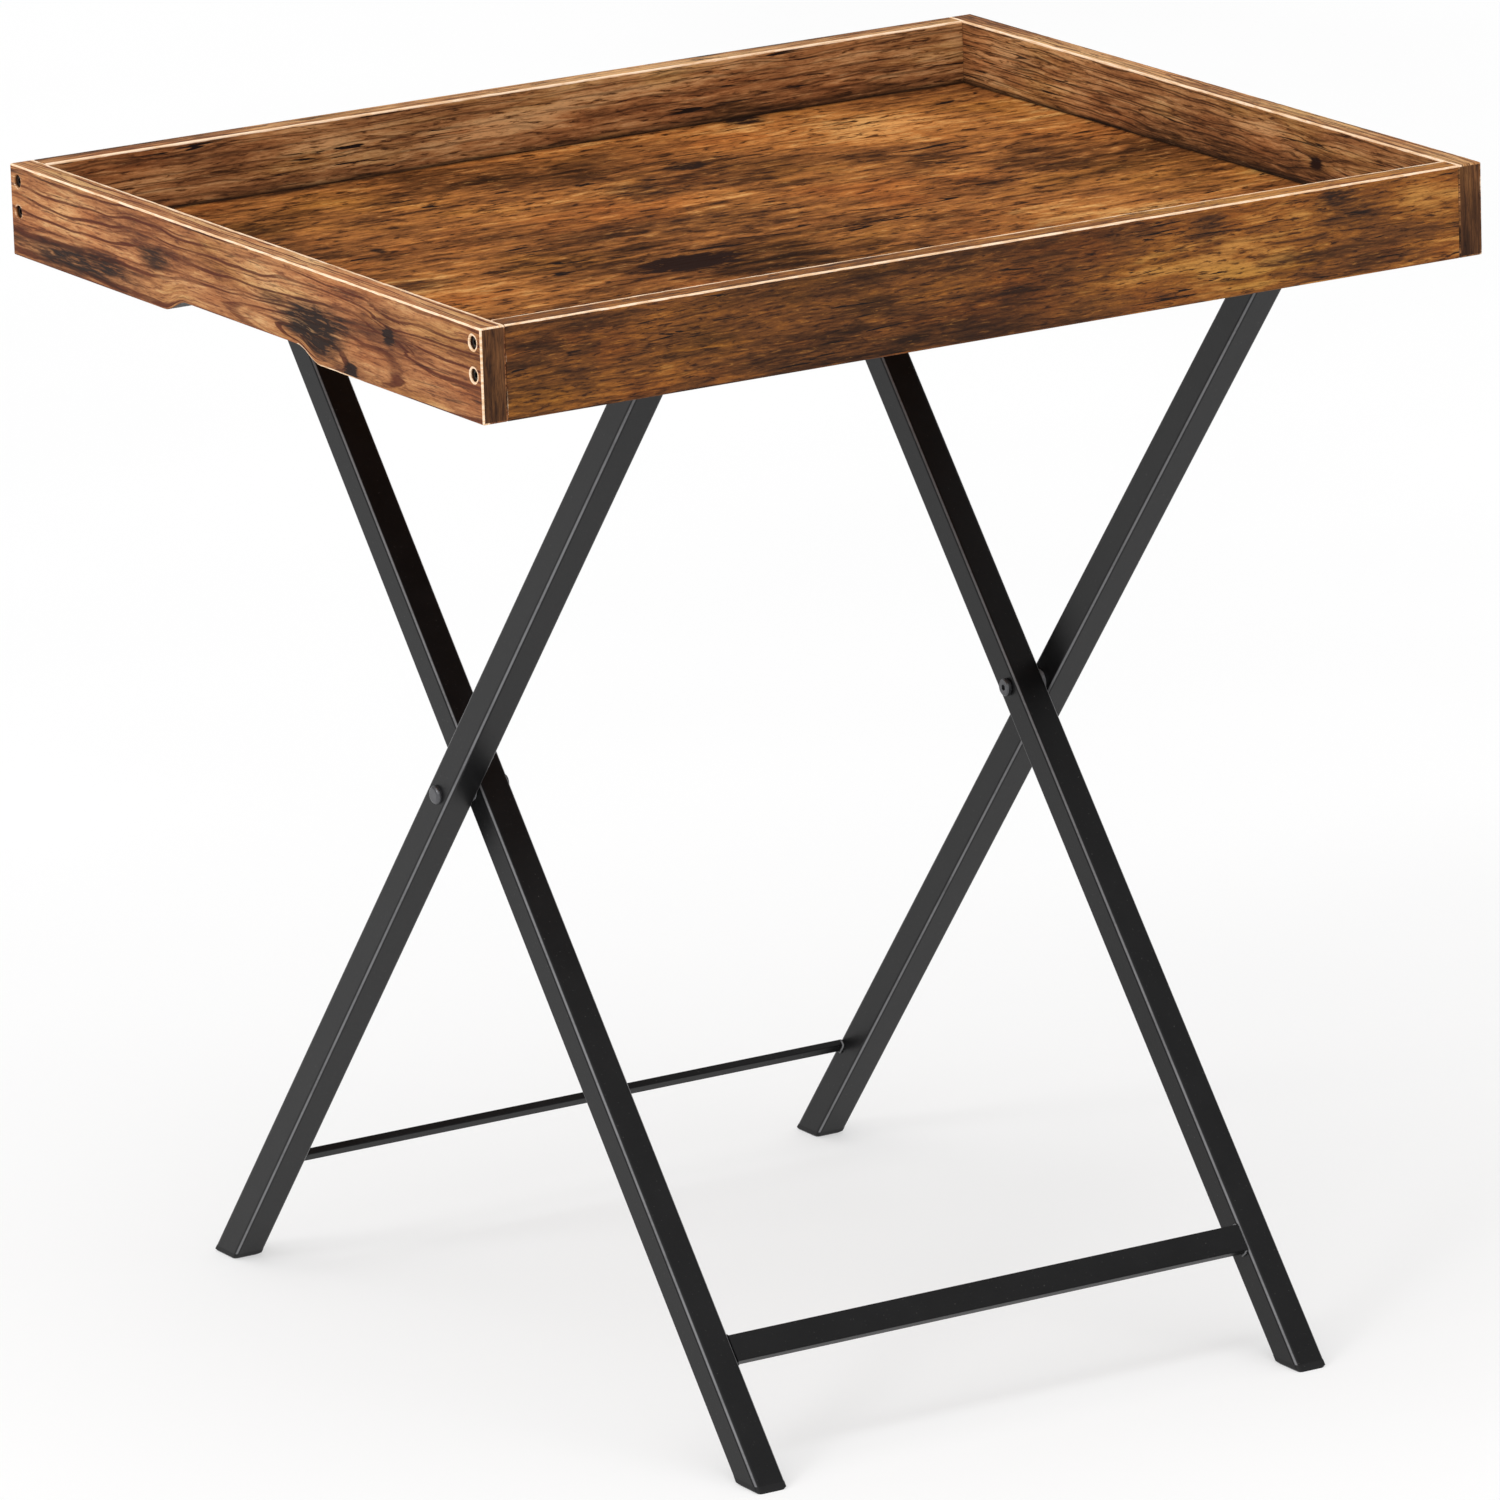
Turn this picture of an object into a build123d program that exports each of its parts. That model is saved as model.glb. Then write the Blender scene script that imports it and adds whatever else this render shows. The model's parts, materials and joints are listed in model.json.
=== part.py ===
from build123d import *
import math
import os

# Folding tray table: a loose wooden tray that sits on a cross-legged steel stand.
# Millimetres. +X runs along the tray's long side, -Y is the front, +Z is up.
# The origin is the middle of the footprint on the floor.

# ---- driving dimensions: tray ----
TRAY_LENGTH = 500.0
TRAY_DEPTH = 410.0
BOARD_HEIGHT = 41.0
BOARD_THICK = 12.0
TRAY_UNDERSIDE = 480.0
PANEL_THICK = 5.0
PANEL_ABOVE_UNDERSIDE = 7.5
PANEL_TONGUE = 3.5
GROOVE_DEPTH = 5.0
GROOVE_PLAY = 0.2
ARRIS_RADIUS = 0.8

# finger notch in the lower edge of each end board
NOTCH_FLAT = 98.0
NOTCH_RUN = 19.0
NOTCH_HEIGHT = 6.0

# screws through the end boards into the ends of the long boards
SCREW_FROM_CORNER = 6.5
SCREW_DROPS = (7.0, 20.8)
SCREW_HOLE_RADIUS = 2.9
SCREW_HOLE_DEPTH = 3.2
SCREW_HEAD_RADIUS = 2.8
SCREW_HEAD_HEIGHT = 2.0
SCREW_SHANK_RADIUS = 1.5
SCREW_LENGTH = 32.0
SCREW_CLEARANCE = 0.1
SCREW_HEAD_EDGE = 0.8
SOCKET_RADIUS = 1.2
SOCKET_DEPTH = 1.2

# ---- driving dimensions: stand ----
TUBE = 15.0
TUBE_WALL = 1.2
TUBE_CORNER = 1.8
LEG_TOP_Y = 176.0
LEG_FOOT_Y = 214.0
OUTER_LEG_X = 155.5
LEG_GAP = 2.1
STAND_TOP_GAP = 0.2
FOOT_CAP = 3.0
TOP_CAP = 2.0
PLUG_INSERT = 16.0
PLUG_PLAY = 0.1
PLUG_CORNER = 0.8
CAP_EDGE = 1.0

# cross bars welded between the legs
BAR_FROM_FOOT = 61.0
INNER_BAR_WIDE = 12.5
INNER_BAR_THICK = 5.0
OUTER_BAR_WIDE = 5.0
OUTER_BAR_THICK = 3.5
TOP_RAIL_WIDE = 8.0
TOP_RAIL_THICK = 3.5
RAIL_DROP = 2.0
BAR_EDGE = 0.5

# pivots
PIVOT_RADIUS = 2.5
PIVOT_CLEARANCE = 0.05
PIVOT_HEAD_RADIUS = 4.2
PIVOT_HEAD_HEIGHT = 2.2
PIVOT_HEAD_EDGE = 1.54
WASHER_RADIUS = 5.5
WASHER_THICK = 1.8
NUT_RADIUS = 4.0
NUT_HEIGHT = 2.0
NUT_EDGE = 0.5
NUT_GAP = 0.2
HEX_ACROSS = 2.6
HEX_DEPTH = 1.3

# ---- worked out ----
RIM_TOP = TRAY_UNDERSIDE + BOARD_HEIGHT
PANEL_UNDERSIDE = TRAY_UNDERSIDE + PANEL_ABOVE_UNDERSIDE
STAND_TOP = PANEL_UNDERSIDE - STAND_TOP_GAP
LEAN = math.atan2(LEG_TOP_Y + LEG_FOOT_Y, TRAY_UNDERSIDE)
LEAN_DEG = math.degrees(LEAN)
PIVOT_Z = TRAY_UNDERSIDE * LEG_FOOT_Y / (LEG_TOP_Y + LEG_FOOT_Y)
INNER_LEG_X = OUTER_LEG_X - TUBE - LEG_GAP
BAR_Z = PIVOT_Z / math.cos(LEAN) - BAR_FROM_FOOT
RAIL_Z = (STAND_TOP - RAIL_DROP - PIVOT_Z) / math.cos(LEAN) - TOP_RAIL_WIDE / 2
LONG = 2000.0
CENTRED = (Align.CENTER, Align.CENTER, Align.CENTER)
UPWARD = (Align.CENTER, Align.CENTER, Align.MIN)


def block(low, high):
    """A box between two opposite corners."""
    size = [b - a for a, b in zip(low, high)]
    middle = [(a + b) / 2 for a, b in zip(low, high)]
    return Pos(*middle) * Box(*size, align=CENTRED)


def rod(radius, start, length, direction):
    """A cylinder that starts at a point and runs along +X or -X."""
    turn = 90 if direction > 0 else -90
    return Pos(*start) * Rot(0, turn, 0) * Cylinder(radius, length, align=UPWARD)


def prism(across_x, across_y, length, corner):
    """A bar along Z with rounded corners, centred on the origin."""
    outline = RectangleRounded(across_x, across_y, corner)
    return extrude(Plane.XY.offset(-length / 2) * outline, length)


def save(name, shape):
    """Write one node."""
    export_step(shape, os.path.join("parts", name + ".step"))


# ---------------------------------------------------------------- tray
def panel_slab(reach, thick):
    """A slab on the panel's underside that reaches past the rim's inner faces."""
    half_x = TRAY_LENGTH / 2 - BOARD_THICK + reach
    half_y = TRAY_DEPTH / 2 - BOARD_THICK + reach
    return block((-half_x, -half_y, PANEL_UNDERSIDE), (half_x, half_y, PANEL_UNDERSIDE + thick))


def panel_groove():
    """The slot round the inside of the rim that holds the floor panel."""
    return panel_slab(GROOVE_DEPTH, PANEL_TONGUE)


def tray_panel():
    """The floor of the tray: a board whose thinned edge sits in the groove with a little play."""
    tongue = panel_slab(GROOVE_DEPTH - GROOVE_PLAY, PANEL_TONGUE)
    return tongue + panel_slab(-GROOVE_PLAY, PANEL_THICK)


def long_board(side):
    """Front (side -1) or back (side +1) board, between the end boards."""
    half_x = TRAY_LENGTH / 2 - BOARD_THICK
    outer = side * TRAY_DEPTH / 2
    inner = side * (TRAY_DEPTH / 2 - BOARD_THICK)
    low = (-half_x, min(outer, inner), TRAY_UNDERSIDE)
    high = (half_x, max(outer, inner), RIM_TOP)
    board = block(low, high)
    board = fillet(board.edges().filter_by(Axis.X), ARRIS_RADIUS)
    board -= panel_groove()
    for end in (-1, 1):
        board -= screw_bores(end, side)
    return board


def notch_cutter():
    """The finger notch's outline, an S-curve down from each end of its flat top."""
    flat = NOTCH_FLAT / 2
    foot = flat + NOTCH_RUN
    middle = (flat + foot) / 2
    base = TRAY_UNDERSIDE
    top = base + NOTCH_HEIGHT
    below = base - NOTCH_HEIGHT
    profile = [
        Line((-foot, below), (-foot, base)),
        Spline((-foot, base), (-middle, (base + top) / 2), (-flat, top), tangents=((1, 0), (1, 0))),
        Line((-flat, top), (flat, top)),
        Spline((flat, top), (middle, (base + top) / 2), (foot, base), tangents=((1, 0), (1, 0))),
        Line((foot, base), (foot, below)),
        Line((foot, below), (-foot, below)),
    ]
    face = make_face(Plane.YZ * Curve(profile))
    return extrude(face, TRAY_LENGTH, both=True)


def end_board(side):
    """Left (side -1) or right (side +1) board, which caps the long boards."""
    outer = side * TRAY_LENGTH / 2
    inner = side * (TRAY_LENGTH / 2 - BOARD_THICK)
    low = (min(outer, inner), -TRAY_DEPTH / 2, TRAY_UNDERSIDE)
    high = (max(outer, inner), TRAY_DEPTH / 2, RIM_TOP)
    board = fillet(block(low, high).edges(), ARRIS_RADIUS)
    board -= notch_cutter()
    board -= panel_groove()
    for along in (-1, 1):
        board -= screw_bores(side, along)
        for y, z in screw_places(along):
            mouth = side * (TRAY_LENGTH / 2 - SCREW_HOLE_DEPTH)
            board -= rod(SCREW_HOLE_RADIUS, (mouth, y, z), LONG, side)
    return board


def screw_places(along):
    """Height and depth of the two screws at one corner; along is -1 at the front."""
    y = along * (TRAY_DEPTH / 2 - SCREW_FROM_CORNER)
    return [(y, RIM_TOP - drop) for drop in SCREW_DROPS]


def screw_bores(end, along):
    """The shank holes at one corner, slightly larger than the screws."""
    start = end * TRAY_LENGTH / 2
    radius = SCREW_SHANK_RADIUS + SCREW_CLEARANCE
    depth = SCREW_LENGTH + SCREW_HOLE_DEPTH
    return Part() + [rod(radius, (start, y, z), depth, -end) for y, z in screw_places(along)]


def screw_pair(end, along):
    """The two screws at one corner, heads sunk in the end board."""
    screws = []
    seat = end * (TRAY_LENGTH / 2 - SCREW_HOLE_DEPTH)
    top = seat + end * SCREW_HEAD_HEIGHT
    for y, z in screw_places(along):
        head = rod(SCREW_HEAD_RADIUS, (seat, y, z), SCREW_HEAD_HEIGHT, end)
        rim = head.edges().sort_by(Axis.X)[0 if end < 0 else -1]
        head = fillet(rim, SCREW_HEAD_EDGE)
        shank = rod(SCREW_SHANK_RADIUS, (seat, y, z), SCREW_LENGTH - SCREW_HOLE_DEPTH, -end)
        socket = rod(SOCKET_RADIUS, (top, y, z), SOCKET_DEPTH, -end)
        screws.append(head + shank - socket)
    return Compound(children=screws)


# ---------------------------------------------------------------- stand
def lean(shape, way):
    """Tilt a shape made round the pivot axis and lift it to the pivot's height.

    way is +1 for the outer frame, whose feet are at the back, and -1 for the inner one.
    """
    return Pos(0, 0, PIVOT_Z) * Rot(way * LEAN_DEG, 0, 0) * shape


def slab(low_z, high_z):
    """Everything between two heights."""
    return block((-LONG, -LONG, low_z), (LONG, LONG, high_z))


def cut_between(shape, low_z, high_z):
    """The one solid of a shape that lies between two heights."""
    return (shape & slab(low_z, high_z)).solids()[0]


def leg(x, way, hole_radius):
    """A square tube, cut level at both ends, with the pivot's hole across it."""
    bore = TUBE - 2 * TUBE_WALL
    tube = prism(TUBE, TUBE, LONG, TUBE_CORNER) - prism(bore, bore, LONG, TUBE_CORNER - TUBE_WALL)
    tube = lean(Pos(x, 0, 0) * tube, way)
    tube = cut_between(tube, FOOT_CAP, STAND_TOP - TOP_CAP)
    return tube - rod(hole_radius, (x - TUBE, 0, PIVOT_Z), 2 * TUBE, 1)


def leg_y(way, z):
    """Where a leg's axis is at a given height."""
    return -way * (z - PIVOT_Z) * math.tan(LEAN)


def plug_outline(x, way, z, inset):
    """The tube's level outline at a height, drawn in by an inset."""
    across = TUBE - inset
    along = TUBE / math.cos(LEAN) - inset
    return Pos(x, leg_y(way, z), z) * RectangleRounded(across, along, TUBE_CORNER)


def plug(x, way, joint_z, wide_z, end_z, insert_z):
    """A moulded end plug: a cap as wide as the tube and a shank that fits inside it."""
    bore = TUBE - 2 * TUBE_WALL - 2 * PLUG_PLAY
    sections = [plug_outline(x, way, joint_z, 0.0), plug_outline(x, way, wide_z, 0.0)]
    sections.append(plug_outline(x, way, end_z, 2 * CAP_EDGE))
    cap = loft(sections, ruled=True)
    core = lean(Pos(x, 0, 0) * prism(bore, bore, LONG, PLUG_CORNER), way)
    shank = cut_between(core, min(joint_z, insert_z), max(joint_z, insert_z))
    return cap + shank


def foot_plug(x, way):
    """The glide that the leg stands on."""
    return plug(x, way, FOOT_CAP, CAP_EDGE, 0.0, FOOT_CAP + PLUG_INSERT)


def top_plug(x, way):
    """The cap that the tray rests on."""
    joint = STAND_TOP - TOP_CAP
    return plug(x, way, joint, STAND_TOP - CAP_EDGE, STAND_TOP, joint - PLUG_INSERT)


def cross_bar(half_span, wide, thick, along, face, way):
    """A flat bar between two legs, flush with one face of the frame.

    along is its distance above the pivot, measured down the legs; face is -1 for the frame's
    front face and +1 for its back face.
    """
    bar = Box(2 * half_span, thick, wide, align=CENTRED)
    bar = fillet(bar.edges().filter_by(Axis.X), BAR_EDGE)
    return lean(Pos(0, face * (TUBE - thick) / 2, along) * bar, way)


def pivot_bolt(side):
    """A domed bolt, from the outer leg's outside to past the inner leg's inside."""
    face = side * (OUTER_LEG_X + TUBE / 2)
    head = rod(PIVOT_HEAD_RADIUS, (face, 0, PIVOT_Z), PIVOT_HEAD_HEIGHT, side)
    rim = head.edges().sort_by(Axis.X)[0 if side < 0 else -1]
    head = fillet(rim, PIVOT_HEAD_EDGE)
    length = 2 * TUBE + LEG_GAP + NUT_GAP + NUT_HEIGHT
    return head + rod(PIVOT_RADIUS, (face, 0, PIVOT_Z), length - HEX_DEPTH, -side)


def pivot_nut(side):
    """The round cap nut on the inside of the inner leg, with a hexagon socket."""
    near = side * (INNER_LEG_X - TUBE / 2 - NUT_GAP)
    far = near - side * NUT_HEIGHT
    nut = rod(NUT_RADIUS, (near, 0, PIVOT_Z), NUT_HEIGHT, -side)
    rim = nut.edges().sort_by(Axis.X)[-1 if side < 0 else 0]
    nut = chamfer(rim, NUT_EDGE)
    nut -= rod(PIVOT_RADIUS, (near, 0, PIVOT_Z), NUT_HEIGHT - HEX_DEPTH, -side)
    hexagon = extrude(RegularPolygon(HEX_ACROSS / 2, 6, major_radius=False), HEX_DEPTH)
    turn = 90 if side > 0 else -90
    return nut - Pos(far, 0, PIVOT_Z) * Rot(0, turn, 0) * hexagon


def spacer_washer(side):
    """The washer that keeps the two legs apart at the pivot."""
    start = side * (OUTER_LEG_X - TUBE / 2)
    disc = rod(WASHER_RADIUS, (start, 0, PIVOT_Z), WASHER_THICK, -side)
    return disc - rod(PIVOT_RADIUS, (start, 0, PIVOT_Z), WASHER_THICK, -side)


def build_tray():
    save("tray_panel", tray_panel())
    save("front_board", long_board(-1))
    save("back_board", long_board(1))
    for end, end_name in ((-1, "left"), (1, "right")):
        save(end_name + "_end_board", end_board(end))
        for along, along_name in ((-1, "front"), (1, "back")):
            save(end_name + "_" + along_name + "_screws", screw_pair(end, along))


def build_frame(name, way, leg_x, hole_radius):
    """One leg frame; its lower bar and top rail lie on the faces away from the other frame."""
    gap = leg_x - TUBE / 2
    for side, side_name in ((-1, "left"), (1, "right")):
        save(name + "_leg_" + side_name, leg(side * leg_x, way, hole_radius))
        save(name + "_foot_plug_" + side_name, foot_plug(side * leg_x, way))
        save(name + "_top_plug_" + side_name, top_plug(side * leg_x, way))
    low_wide = OUTER_BAR_WIDE if way > 0 else INNER_BAR_WIDE
    low_thick = OUTER_BAR_THICK if way > 0 else INNER_BAR_THICK
    save(name + "_lower_bar", cross_bar(gap, low_wide, low_thick, -BAR_Z, way, way))
    save(name + "_top_rail", cross_bar(gap, TOP_RAIL_WIDE, TOP_RAIL_THICK, RAIL_Z, -way, way))


def build_pivots():
    for side, name in ((-1, "left"), (1, "right")):
        save("pivot_bolt_" + name, pivot_bolt(side))
        save("pivot_nut_" + name, pivot_nut(side))
        save("spacer_washer_" + name, spacer_washer(side))


os.makedirs("parts", exist_ok=True)
build_tray()
build_frame("outer", 1, OUTER_LEG_X, PIVOT_RADIUS)
build_frame("inner", -1, INNER_LEG_X, PIVOT_RADIUS + PIVOT_CLEARANCE)
build_pivots()
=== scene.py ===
import json
import math

import bmesh
import bpy
from mathutils import Matrix, Vector, noise


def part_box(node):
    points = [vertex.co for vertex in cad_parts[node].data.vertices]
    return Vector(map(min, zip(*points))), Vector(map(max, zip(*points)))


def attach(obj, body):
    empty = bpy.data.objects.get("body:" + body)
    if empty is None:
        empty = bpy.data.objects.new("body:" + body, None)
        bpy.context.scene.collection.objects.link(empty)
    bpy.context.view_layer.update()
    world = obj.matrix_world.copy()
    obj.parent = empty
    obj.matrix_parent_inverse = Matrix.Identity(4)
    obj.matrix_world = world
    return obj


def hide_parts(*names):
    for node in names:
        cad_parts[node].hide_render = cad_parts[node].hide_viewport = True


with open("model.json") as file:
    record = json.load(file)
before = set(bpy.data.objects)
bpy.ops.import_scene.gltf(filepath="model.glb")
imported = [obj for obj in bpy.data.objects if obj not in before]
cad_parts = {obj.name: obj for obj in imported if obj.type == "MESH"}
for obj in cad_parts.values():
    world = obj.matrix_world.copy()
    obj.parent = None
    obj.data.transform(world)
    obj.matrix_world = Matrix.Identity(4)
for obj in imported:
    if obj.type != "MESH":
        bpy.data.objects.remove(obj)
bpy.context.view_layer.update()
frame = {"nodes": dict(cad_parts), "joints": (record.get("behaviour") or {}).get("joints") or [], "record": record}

# Looks of a folding tray table: a wooden tray on a black cross-legged steel stand.
# The frame is in metres. Boards and welds are worked out in millimetres and placed from the
# boxes of the frame's nodes.

MM = 0.001
UP = Vector((0, 0, 1))
# a length too small to matter, in millimetres
HAIR = 0.01

# ---- rim boards, in millimetres ----
# the radius of the rounded long edges, called arrises here, the steps and length of the round,
# and the least radius where a board's ends draw in
ARRIS = 0.8
ARRIS_STEPS = 5
ARC = ARRIS * math.pi / 2
LEAST_ROUND = 0.05
# the spacing of a board's sections, the bevel of a long board's ends, and the rim of a cut end
STATION = 2.6
BUTT_BEVEL, BUTT_REST = 0.2, 0.5
CAP_RIM = 0.3
# lines of the grid: heights on the outer and inner faces, shares of the thickness on the top,
# and how many are on the underside
OUTER_LEVELS = (3.5, 6.5, 9.5, 12.5)
INNER_LEVELS = (35.0, 30.0, 25.0, 20.0, 16.5, 14.6, 13.6)
INNER_FOOT_LEVEL = 4.0
TOP_SHARES = (0.35, 0.65)
UNDERSIDE_LINES = 5
# how far the grain runs on from a section's last point to its first
SEAM = 0.3
# the groove for the floor panel, and the height of the floor's top
SLOT_LOW, SLOT_HIGH, SLOT_DEEP = 7.5, 11.0, 5.0
FLOOR_HEIGHT = 12.5

# ---- finger notches in the feet of the end boards ----
# the length of the flat and of the slope at each end of it, and the height; and how far up the
# outer face the grid is pushed
NOTCH_FLAT, NOTCH_RUN, NOTCH_HEIGHT = 98.0, 19.0, 6.0
NOTCH_REACH_OUTSIDE = 20.0
# the worn foot at the notch's near end: how long the wear takes to set in round the flat's end
# and to fade out, and where it has gone, past the slope
NOTCH_WEAR_IN, NOTCH_WEAR_OUT, NOTCH_WEAR_END = 8.0, 40.0, 52.0

# ---- screw holes in the end boards ----
# how far in from the end and down from the top they are, half the side of the square patch of
# finer grid round each, the cells along a side of it, and the radius
HOLE_IN = 6.5
HOLE_DROPS = (7.0, 20.8)
HOLE_PATCH = 5.2
HOLE_CELLS = 8
HOLE_CELL = 2 * HOLE_PATCH / HOLE_CELLS
HOLE_RADIUS = 2.9
# radius, depth, wear and painted shade of the rings from the outer face to the bottom of a hole;
# the painted shade darkens the deep rings
HOLE_RINGS = ((4.1, 0.0, 0.0, 0.0), (3.62, 0.0, 1.0, 0.0), (3.15, 0.03, 1.0, 0.0),
              (HOLE_RADIUS + 0.04, 0.2, 1.0, 0.0), (HOLE_RADIUS, 0.6, 0.7, 0.0),
              (HOLE_RADIUS, 0.9, 0.0, 1.0), (HOLE_RADIUS, 3.2, 0.0, 1.0))
# how ragged a mouth is, how often that repeats round it, and how worn the back ones are
HOLE_CHIP, HOLE_CHIP_OFTEN = 0.05, 2.5
BACK_HOLE_WEAR = 0.5

# ---- wear and painted shade: 0 is none and 1 is full ----
# how far wear reaches past an arris, and over the top from the inner one on the back and right
# boards and on the front and left ones
WEAR_FADE = 0.45
FAR_FADE, NEAR_FADE = 1.3, 2.8
# the share of an arris's wear that is left at its edge
EDGE_WEAR = 0.5
# wear comes and goes by this much; where it is above DENTED_FROM, the arris is knocked in too
WEAR_CHANGE, WEAR_OFTEN = 0.25, 0.45
DENTED_FROM, DENT = 0.4, 0.16
DENT_ALONG, DENT_ROUND = 0.21, 0.35
SMALL_DENT, SMALL_DENT_OFTEN = 0.35, 3.7
# painted shade over the boards' undersides
UNDERSIDE_SHADE = 0.3
# painted shade darkens the joint at the floor, and this much of that climbs the inner face to this height
JOINT_SHADE, JOINT_SHADE_TOP = 0.55, 14.0

# ---- the floor panel, whose thinner tongue runs into the rim's groove ----
# how far in from the visible edge the plain middle starts, and how many cells each side has
PANEL_HEART = 24.0
PANEL_CELLS = (24, 20)
# the gap between the visible edge and the rim, and the tongue's thickness, bevel and painted shade
PANEL_GAP = 0.2
TONGUE_THICK = 3.5
TONGUE_BEVEL = 0.3
TONGUE_SHADE = 0.4


def low(node):
    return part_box(node)[0]


def high(node):
    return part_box(node)[1]


def smooth(t):
    """0 to 1 with level ends."""
    t = min(1.0, max(0.0, t))
    return t * t * (3 - 2 * t)


def tone(red, green, blue):
    """A linear colour from display values of 0 to 255."""
    out = []
    for value in (red, green, blue):
        v = value / 255
        out.append(v / 12.92 if v <= 0.04045 else ((v + 0.055) / 1.055) ** 2.4)
    return (*out, 1.0)


# ---------------------------------------------------------------- materials
class Graph:
    """A material's nodes, built by calls that return sockets."""

    def __init__(self, name):
        self.material = bpy.data.materials.new(name)
        self.material.use_nodes = True
        self.tree = self.material.node_tree
        self.tree.nodes.clear()
        out = self.add("ShaderNodeOutputMaterial")
        self.shader = self.add("ShaderNodeBsdfPrincipled")
        self.tree.links.new(self.shader.outputs["BSDF"], out.inputs["Surface"])

    def add(self, kind, **settings):
        node = self.tree.nodes.new(kind)
        for key, value in settings.items():
            setattr(node, key, value)
        return node

    def put(self, socket, value):
        if isinstance(value, bpy.types.NodeSocket):
            self.tree.links.new(value, socket)
        else:
            socket.default_value = value

    def finish(self, **inputs):
        """Set or link the shader's inputs; an underscore in a name stands for a space."""
        for name, value in inputs.items():
            self.put(self.shader.inputs[name.replace("_", " ")], value)
        return self.material

    def math(self, operation, a, b=0.0, clamp=False):
        node = self.add("ShaderNodeMath", operation=operation, use_clamp=clamp)
        self.put(node.inputs[0], a)
        self.put(node.inputs[1], b)
        return node.outputs[0]

    def plus(self, *terms):
        total = terms[0]
        for term in terms[1:]:
            total = self.math("ADD", total, term)
        return total

    def times(self, a, b, clamp=False):
        return self.math("MULTIPLY", a, b, clamp)

    def swing(self, value, amount):
        """How far a value is from its middle of 0.5, times an amount."""
        return self.times(self.plus(value, -0.5), amount)

    def spread(self, value, gain):
        """A value pulled away from its middle of 0.5."""
        return self.plus(self.times(value, gain), 0.5 - gain * 0.5)

    def step(self, value, start, end, bottom=0.0, top=1.0):
        """A smooth step from bottom at start to top at end; start may be above end."""
        node = self.add("ShaderNodeMapRange", interpolation_type="SMOOTHSTEP")
        if start > end:
            start, end, bottom, top = end, start, top, bottom
        for name, v in (("From Min", start), ("From Max", end), ("To Min", bottom), ("To Max", top)):
            self.put(node.inputs[name], v)
        self.put(node.inputs["Value"], value)
        return node.outputs["Result"]

    def stretch(self, vector, scales, shift=(0, 0, 0)):
        node = self.add("ShaderNodeVectorMath", operation="MULTIPLY_ADD")
        self.put(node.inputs[0], vector)
        self.put(node.inputs[1], scales)
        self.put(node.inputs[2], shift)
        return node.outputs[0]

    def split(self, vector):
        node = self.add("ShaderNodeSeparateXYZ")
        self.put(node.inputs[0], vector)
        return node.outputs

    def noise(self, vector, detail=3.0, rough=0.55, distort=0.0):
        node = self.add("ShaderNodeTexNoise", noise_dimensions="3D")
        self.put(node.inputs["Vector"], vector)
        self.put(node.inputs["Scale"], 1.0)
        self.put(node.inputs["Detail"], detail)
        self.put(node.inputs["Roughness"], rough)
        self.put(node.inputs["Distortion"], distort)
        return node.outputs["Fac"]

    def ramp(self, value, stops):
        node = self.add("ShaderNodeValToRGB")
        elements = node.color_ramp.elements
        while len(elements) < len(stops):
            elements.new(0.5)
        for element, (place, colour) in zip(elements, stops):
            element.position = place
            element.color = colour
        self.put(node.inputs["Fac"], value)
        return node.outputs["Color"]

    def mix(self, share, a, b, blend="MIX"):
        node = self.add("ShaderNodeMix", data_type="RGBA", blend_type=blend)
        self.put(node.inputs[0], share)
        self.put(node.inputs[6], a)
        self.put(node.inputs[7], b)
        return node.outputs[2]

    def named(self, name, output="Fac"):
        return self.add("ShaderNodeAttribute", attribute_name=name).outputs[output]

    def bump(self, height, distance, strength):
        node = self.add("ShaderNodeBump")
        self.put(node.inputs["Height"], height)
        self.put(node.inputs["Distance"], distance)
        self.put(node.inputs["Strength"], strength)
        return node.outputs["Normal"]


# ---- wood ----
CREAM, TAN = tone(250, 222, 192), tone(226, 182, 138)
# the last of these is the tone of painted shade in joints, the groove, screw holes and undersides
SOOT, SMOKE, KNOT, SHADE_TONE = tone(30, 20, 17), tone(40, 26, 20), tone(38, 22, 17), tone(26, 16, 11)
ROSE_CAST, OLIVE_CAST = tone(255, 226, 206), tone(236, 244, 206)
CAST_SHARE = 0.55

# how far growth lines leave the straight, in metres: short swings, long ones, and round a knot
LINE_SWAY, LINE_DRIFT, KNOT_SWELL = 0.0032, 0.006, 0.0035
HALO_SIZE = (3.2, 2.4)
PATCH_WOBBLE = 1.1
GRAIN_RELIEF = 0.00014


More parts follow.
